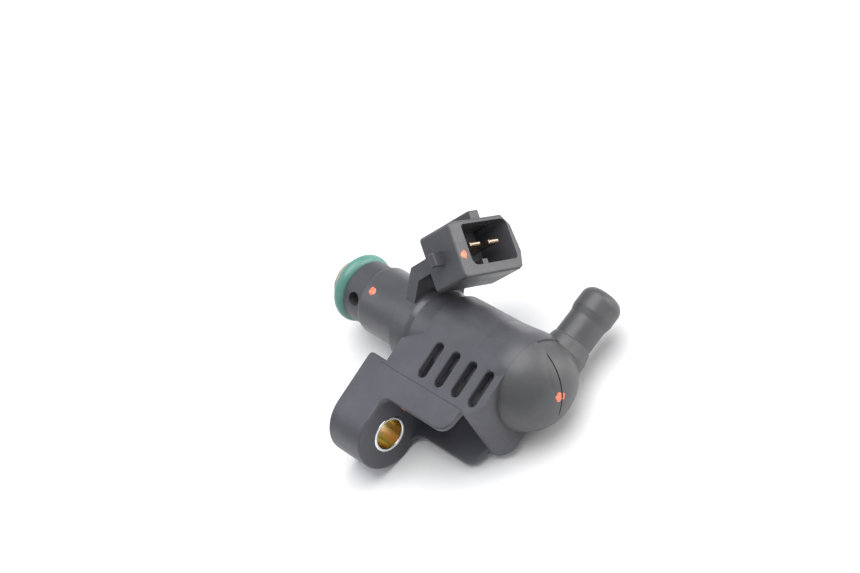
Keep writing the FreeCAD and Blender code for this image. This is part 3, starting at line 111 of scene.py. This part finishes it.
# ---- node helpers -----------------------------------------------------------------------------
class Shader:
    """A node material with one Principled shader, and short calls to add to it."""

    def __init__(self, name, colour, roughness, metallic=0.0, **constants):
        self.material = bpy.data.materials.new(name)
        self.material.use_nodes = True
        self.tree = self.material.node_tree
        self.surface = self.tree.nodes["Principled BSDF"]
        self.surface.inputs["Base Color"].default_value = (*colour, 1.0)
        self.surface.inputs["Roughness"].default_value = roughness
        self.surface.inputs["Metallic"].default_value = metallic
        for key, value in constants.items():
            self.surface.inputs[key.replace("_", " ")].default_value = value
        self.place = self.add("ShaderNodeTexCoord").outputs["Object"]
        self.colour = None
        self.height = None

    def add(self, kind, inputs=(), **settings):
        """A node with its settings, and its inputs set to values or linked to sockets."""
        node = self.tree.nodes.new(kind)
        for key, value in settings.items():
            setattr(node, key, value)
        for key, value in dict(inputs).items():
            if isinstance(value, bpy.types.NodeSocket):
                self.tree.links.new(value, node.inputs[key])
            else:
                node.inputs[key].default_value = value
        return node

    def stretched(self, scale):
        """The object's coordinates, scaled by axis."""
        return self.add("ShaderNodeMapping", {"Vector": self.place, "Scale": scale}).outputs[0]

    def noise(self, per_metre, detail=3.0, vector=None, rough=0.55, distortion=0.0):
        return self.add("ShaderNodeTexNoise", {
            "Vector": vector or self.place, "Scale": per_metre, "Detail": detail,
            "Roughness": rough, "Distortion": distortion}).outputs["Fac"]

    def waves(self, per_metre, direction, distortion=0.0):
        """Straight bands across one axis."""
        return self.add("ShaderNodeTexWave", {
            "Vector": self.place, "Scale": per_metre, "Distortion": distortion},
            bands_direction=direction).outputs["Fac"]

    def spread(self, value, low, high, to_low=0.0, to_high=1.0):
        return self.add("ShaderNodeMapRange", {
            "Value": value, "From Min": low, "From Max": high,
            "To Min": to_low, "To Max": to_high}).outputs[0]

    def product(self, first, second):
        return self.add("ShaderNodeMath", {0: first, 1: second}, operation="MULTIPLY").outputs[0]

    def tint(self, amount, colour):
        """Mix a colour over what the base colour is so far."""
        base = self.colour or tuple(self.surface.inputs["Base Color"].default_value)
        mix = self.add("ShaderNodeMix", {"Factor": amount}, data_type="RGBA")
        if isinstance(base, bpy.types.NodeSocket):
            self.tree.links.new(base, mix.inputs[6])
        else:
            mix.inputs[6].default_value = base
        mix.inputs[7].default_value = (*colour, 1.0)
        self.colour = mix.outputs[2]
        self.tree.links.new(self.colour, self.surface.inputs["Base Color"])

    def roughness(self, value, low, high):
        rough = self.spread(value, ROUGH_FROM, ROUGH_TO, low, high)
        self.tree.links.new(rough, self.surface.inputs["Roughness"])

    def bump(self, value, millimetres, strength=1.0):
        bump = self.add("ShaderNodeBump", {
            "Height": value, "Distance": millimetres * MM, "Strength": strength})
        if self.height is not None:
            self.tree.links.new(self.height, bump.inputs["Normal"])
        self.height = bump.outputs["Normal"]
        self.tree.links.new(self.height, self.surface.inputs["Normal"])

    def edges(self, millimetres):
        """1 along sharp edges and 0 on flats, from the bend of a rounded normal."""
        rounded = self.add(
            "ShaderNodeBevel", {"Radius": millimetres * MM}, samples=BEVEL_SAMPLES).outputs[0]
        true_normal = self.add("ShaderNodeNewGeometry").outputs["True Normal"]
        facing = self.add("ShaderNodeVectorMath", {0: rounded, 1: true_normal}, operation="DOT_PRODUCT")
        return self.spread(facing.outputs["Value"], EDGE_FLAT, EDGE_SHARP)


def scaled(colour, factor, lift=0.0):
    """A colour made paler or darker."""
    return tuple(c * factor + lift for c in colour)


# ---- materials --------------------------------------------------------------------------------
def nylon(name, colour, roughness, dust, grain):
    """Black glass-filled nylon: fine moulding grain, faint glass streaks, dust, and pale edges that are
    partly wear and partly a painted edge highlight.
    """
    shader = Shader(name, colour, roughness, Specular_IOR_Level=0.5)
    cloud = shader.noise(90.0, detail=4.0)
    shader.tint(shader.spread(cloud, 0.42, 0.72), scaled(colour, 1.3, 0.004))
    streak = shader.noise(
        260.0, detail=6.0, vector=shader.stretched((0.35, 1.0, 1.0)), rough=0.7, distortion=0.4)
    shader.tint(shader.spread(streak, 0.6, 0.86, to_high=0.35), scaled(colour, 2.0, 0.01))
    speck = shader.noise(1900.0, detail=2.0, rough=0.5)
    shader.tint(shader.spread(speck, 0.74, 0.8, to_high=dust), (0.42, 0.41, 0.39))
    # pale along sharp edges, in patches: partly rubbed wear, partly a painted highlight where rounded
    # edges would catch the light
    worn_and_highlit_edges = shader.product(shader.edges(0.25), shader.spread(cloud, 0.35, 0.7, to_low=0.1, to_high=0.7))
    shader.tint(worn_and_highlit_edges, scaled(colour, 1.3, 0.004))
    shader.roughness(streak, roughness - 0.07, roughness + 0.12)
    shader.bump(shader.noise(5200.0), 0.012, grain)
    shader.bump(shader.noise(700.0, detail=2.0), 0.02, grain * 0.6)
    return shader.material


def teal_rubber():
    """Green rubber with a soft sheen and a few pale specks."""
    shader = Shader("teal_rubber", (0.085, 0.225, 0.185), 0.34, Specular_IOR_Level=0.5)
    cloud = shader.noise(160.0, detail=4.0)
    shader.tint(shader.spread(cloud, 0.4, 0.75), (0.13, 0.30, 0.26))
    speck = shader.noise(2400.0, detail=2.0)
    shader.tint(shader.spread(speck, 0.74, 0.8, to_high=0.4), (0.5, 0.55, 0.5))
    shader.roughness(cloud, 0.27, 0.42)
    shader.bump(shader.noise(3800.0), 0.01, 0.6)
    return shader.material


def turned_metal(name, colour, dark, roughness):
    """Metal turned about X: fine rings across the axis, and faint stains."""
    shader = Shader(name, colour, roughness, metallic=1.0)
    ring = shader.noise(2600.0, detail=4.0, vector=shader.stretched((1.0, 0.04, 0.04)), rough=0.7)
    stain = shader.noise(210.0, detail=4.0)
    shader.tint(shader.spread(stain, 0.42, 0.75), dark)
    shader.tint(shader.spread(ring, 0.6, 0.8, to_high=0.5), scaled(colour, 0.6))
    shader.roughness(ring, roughness - 0.08, roughness + 0.15)
    shader.bump(ring, 0.006, 0.7)
    return shader.material


def yellow_zinc():
    """Yellow-passivated zinc with iridescent bands, paler at its outer end and along its rims."""
    shader = Shader("yellow_zinc", (0.56, 0.43, 0.17), 0.24, metallic=1.0)
    band = shader.noise(
        300.0, vector=shader.stretched((0.25, 1.0, 1.0)), rough=0.6, distortion=0.6)
    shader.tint(shader.spread(band, 0.5, 0.64), (0.66, 0.29, 0.13))
    shader.tint(shader.spread(band, 0.38, 0.46, to_low=0.8, to_high=0.0), (0.46, 0.46, 0.12))
    shader.tint(shader.spread(shader.noise(900.0), 0.62, 0.72, to_high=0.6), (0.16, 0.10, 0.05))
    along = shader.add("ShaderNodeSeparateXYZ", {0: shader.place}).outputs["X"]
    # paler over the outermost fraction of a millimetre of the bush, and along its sharp edges
    shader.tint(shader.spread(along, BUSH_END - 0.28 * MM, BUSH_END - 0.12 * MM), (0.86, 0.87, 0.88))
    shader.tint(shader.edges(0.3), (0.80, 0.79, 0.74))
    shader.roughness(band, 0.18, 0.36)
    shader.bump(shader.noise(2200.0), 0.008, 0.6)
    return shader.material


def tinned_brass():
    """Dull tin plate, drawn along X."""
    shader = Shader("tinned_brass", (0.40, 0.32, 0.24), 0.3, metallic=1.0)
    streak = shader.noise(900.0, detail=4.0, vector=shader.stretched((0.2, 1.0, 1.0)), rough=0.7)
    shader.tint(shader.spread(streak, 0.5, 0.75, to_high=0.5), (0.30, 0.21, 0.13))
    shader.roughness(streak, 0.2, 0.42)
    shader.bump(streak, 0.006, 0.6)
    return shader.material


def copper_winding():
    """Enamelled wire wound about X, one turn to each band."""
    shader = Shader("copper_winding", (0.50, 0.19, 0.07), 0.28, metallic=0.9, Coat_Weight=0.6)
    turns = shader.waves(1100.0, "X", distortion=0.3)
    shader.tint(shader.spread(turns, 0.0, 0.35, to_low=1.0, to_high=0.0), (0.10, 0.03, 0.015))
    shader.roughness(shader.noise(700.0), 0.22, 0.4)
    shader.bump(turns, 0.05)
    return shader.material


def woven_mesh():
    """Fine stainless cloth, woven on a grid."""
    shader = Shader("woven_mesh", (0.55, 0.55, 0.56), 0.35, metallic=1.0)
    weave = shader.product(shader.waves(1500.0, "X"), shader.waves(1500.0, "Y"))
    shader.tint(shader.spread(weave, 0.1, 0.35, to_low=1.0, to_high=0.0), (0.05, 0.05, 0.05))
    shader.roughness(shader.noise(600.0), 0.3, 0.5)
    shader.bump(weave, 0.03)
    return shader.material


def natural_nylon():
    """Uncoloured nylon, slightly translucent."""
    shader = Shader("natural_nylon", (0.42, 0.38, 0.30), 0.45, Subsurface_Weight=0.05)
    cloud = shader.noise(220.0, detail=4.0)
    shader.tint(shader.spread(cloud, 0.4, 0.7), (0.5, 0.46, 0.38))
    shader.roughness(cloud, 0.38, 0.55)
    shader.bump(shader.noise(3600.0), 0.012, 0.7)
    return shader.material


def paint(name, colour, pale):
    """Thick marking paint, paler where it is thin."""
    shader = Shader(name, colour, 0.45, Coat_Weight=0.25)
    cloud = shader.noise(1500.0, detail=4.0, rough=0.6, distortion=0.5)
    shader.tint(shader.spread(cloud, 0.45, 0.68), pale)
    shader.roughness(cloud, 0.35, 0.6)
    shader.bump(cloud, 0.06, 0.9)
    return shader.material


STEEL = turned_metal("turned_steel", (0.55, 0.55, 0.56), (0.42, 0.41, 0.40), 0.3)
TIP_STEEL = turned_metal("tip_steel", (0.50, 0.42, 0.34), (0.30, 0.20, 0.13), 0.38)
BY_SLOT = {
    "housing": nylon("housing_nylon", (0.057, 0.057, 0.066), 0.36, dust=0.25, grain=0.8),
    "elbow": nylon("elbow_nylon", (0.064, 0.064, 0.067), 0.40, dust=0.35, grain=0.9),
    "overmould": nylon("overmould_nylon", (0.060, 0.060, 0.066), 0.30, dust=0.2, grain=0.7),
    "collar": nylon("collar_nylon", (0.045, 0.045, 0.051), 0.42, dust=0.15, grain=0.7),
    "inner_plastic": natural_nylon(),
    "mesh": woven_mesh(),
    "bush_plating": yellow_zinc(),
    "teal_rubber": teal_rubber(),
    "tinned": tinned_brass(),
    "copper": copper_winding(),
    "steel": STEEL,
    "tip_steel": TIP_STEEL,
}
for part in frame["record"]["subparts"]:
    carried = frame["nodes"][part["node"]]
    for slot in carried.material_slots:
        slot.material = BY_SLOT[part["material_slot"]]


# ---- marking paint ----------------------------------------------------------------------------
def about_x(y, z, degrees):
    """A point of a plane drawn upright, after the plane turns about X."""
    turn = math.radians(degrees)
    return y * math.cos(turn) - z * math.sin(turn), y * math.sin(turn) + z * math.cos(turn)


def dab(name, node, centre, normal, size, material, seed):
    """A thin blob of paint that lies on a CAD node, with a ragged edge and a domed middle.

    The centre and the size are in millimetres.
    """
    rng = random.Random(seed)
    centre = Vector(centre) * MM
    normal = Vector(normal).normalized()
    side = normal.orthogonal().normalized()
    other = normal.cross(side)
    graph = bpy.context.evaluated_depsgraph_get()
    surface = BVHTree.FromObject(frame["nodes"][node], graph)
    waves = [(k, rng.uniform(WAVE_LOW, WAVE_HIGH), rng.uniform(0.0, 2.0 * math.pi)) for k in WAVES]
    points = []
    for ring in range(RINGS + 1):
        out = ring / RINGS
        for spoke in range(SPOKES if ring else 1):
            turn = 2.0 * math.pi * spoke / SPOKES
            ragged = 1.0 + sum(a * math.sin(k * turn + phase) for k, a, phase in waves)
            reach = size * MM / 2.0 * out * ragged
            start = centre + side * reach * math.cos(turn) + other * reach * math.sin(turn)
            hit = surface.ray_cast(start + normal * RAY_START, -normal)[0]
            lift = CROWN * (1.0 - out ** 3) - RIM_SINK * out
            points.append((hit or start) + normal * lift)
    faces = [(0, 1 + i, 1 + (i + 1) % SPOKES) for i in range(SPOKES)]
    for ring in range(RINGS - 1):
        first = 1 + ring * SPOKES
        for i in range(SPOKES):
            j = (i + 1) % SPOKES
            faces.append((first + i, first + SPOKES + i, first + SPOKES + j, first + j))
    mesh = bpy.data.meshes.new(name)
    mesh.from_pydata(points, [], faces)
    mesh.materials.append(material)
    mesh.polygons.foreach_set("use_smooth", [True] * len(faces))
    piece = bpy.data.objects.new(name, mesh)
    bpy.context.scene.collection.objects.link(piece)
    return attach(piece, "injector")


ORANGE = paint("orange_paint", (0.84, 0.17, 0.07), (0.92, 0.34, 0.22))
RED = paint("red_paint", (0.55, 0.06, 0.04), (0.70, 0.14, 0.10))

# on the barrel of the injector's body, straight out from the axis
body_y, body_z = about_x(-0.41, 7.7, HOLDER_ROLL)
dab("paint_body", "injector_overmould", (9.97, body_y, body_z), (0, body_y, body_z), 1.9, ORANGE, seed=3)
# on the edge of the upper wall
wall_y, wall_z = about_x(-18.4, 9.25, HOLDER_ROLL)
dab("paint_wall", "holder_housing", (36.8, wall_y, wall_z), (0.0, *about_x(-1.0, 0.0, HOLDER_ROLL)), 1.3,
    RED, seed=7)
# on the rim of the plug, across and up in the plane of its face
rim_across, rim_up = -7.0, -1.1
rim_y, rim_z = about_x(rim_across, FACE_RISE + rim_up * math.cos(PLUG_TILT), PLUG_ROLL)
rim_x = FACE_X - rim_up * math.sin(PLUG_TILT)
face_way = (math.cos(PLUG_TILT), *about_x(0.0, math.sin(PLUG_TILT), PLUG_ROLL))
dab("paint_plug", "injector_overmould", (rim_x, rim_y, rim_z), face_way, 1.7, ORANGE, seed=11)
# on the dome beside its groove
dome_way = Vector((0.99, 0.02, 0.12)).normalized()
dab("paint_dome", "inlet_elbow", Vector((DOME_AT, 0.0, 0.0)) + dome_way * DOME_RADIUS, dome_way, 2.2,
    ORANGE, seed=5)


# ---- floor, light and camera ------------------------------------------------------------------
def floor():
    shader = Shader("pale_floor", (0.86, 0.86, 0.86), 0.6)
    shader.tint(shader.spread(shader.noise(14.0, detail=4.0), 0.35, 0.7), (0.88, 0.875, 0.86))
    shader.bump(shader.noise(900.0), 0.01, 0.3)
    bpy.ops.mesh.primitive_plane_add(size=FLOOR_SIZE, location=(0.0, 0.0, FLOOR - FLOOR_GAP))
    plane = bpy.context.object
    plane.name = "floor"
    plane.data.materials.append(shader.material)


def staged(name, data, place, aim, roll=0.0):
    """An object at a place that looks at a point, turned about its own axis."""
    holder = bpy.data.objects.new(name, data)
    holder.location = place
    holder.rotation_mode = "QUATERNION"
    towards = (Vector(aim) - Vector(place)).to_track_quat("-Z", "Y")
    holder.rotation_quaternion = towards @ Quaternion((0, 0, 1), roll)
    bpy.context.scene.collection.objects.link(holder)
    return holder


def studio():
    bpy.context.scene.view_settings.view_transform = "Standard"
    world = bpy.data.worlds.new("studio")
    world.use_nodes = True
    world.node_tree.nodes["Background"].inputs["Color"].default_value = SKY
    world.node_tree.nodes["Background"].inputs["Strength"].default_value = SKY_STRENGTH
    bpy.context.scene.world = world
    for name, place, width, power, colour in LAMPS:
        light = bpy.data.lights.new(name, "AREA")
        light.shape = "SQUARE"
        light.size = width
        light.energy = power
        light.color = colour
        staged(name, light, place, LIT_POINT)


def camera():
    """The lens looks down at about 46 degrees and is rolled about its own axis."""
    data = bpy.data.cameras.new("camera")
    data.angle = CAMERA_ANGLE
    data.clip_start = CAMERA_NEAR
    bpy.context.scene.camera = staged("camera", data, CAMERA_PLACE, CAMERA_AIM, CAMERA_ROLL)


floor()
studio()
camera()
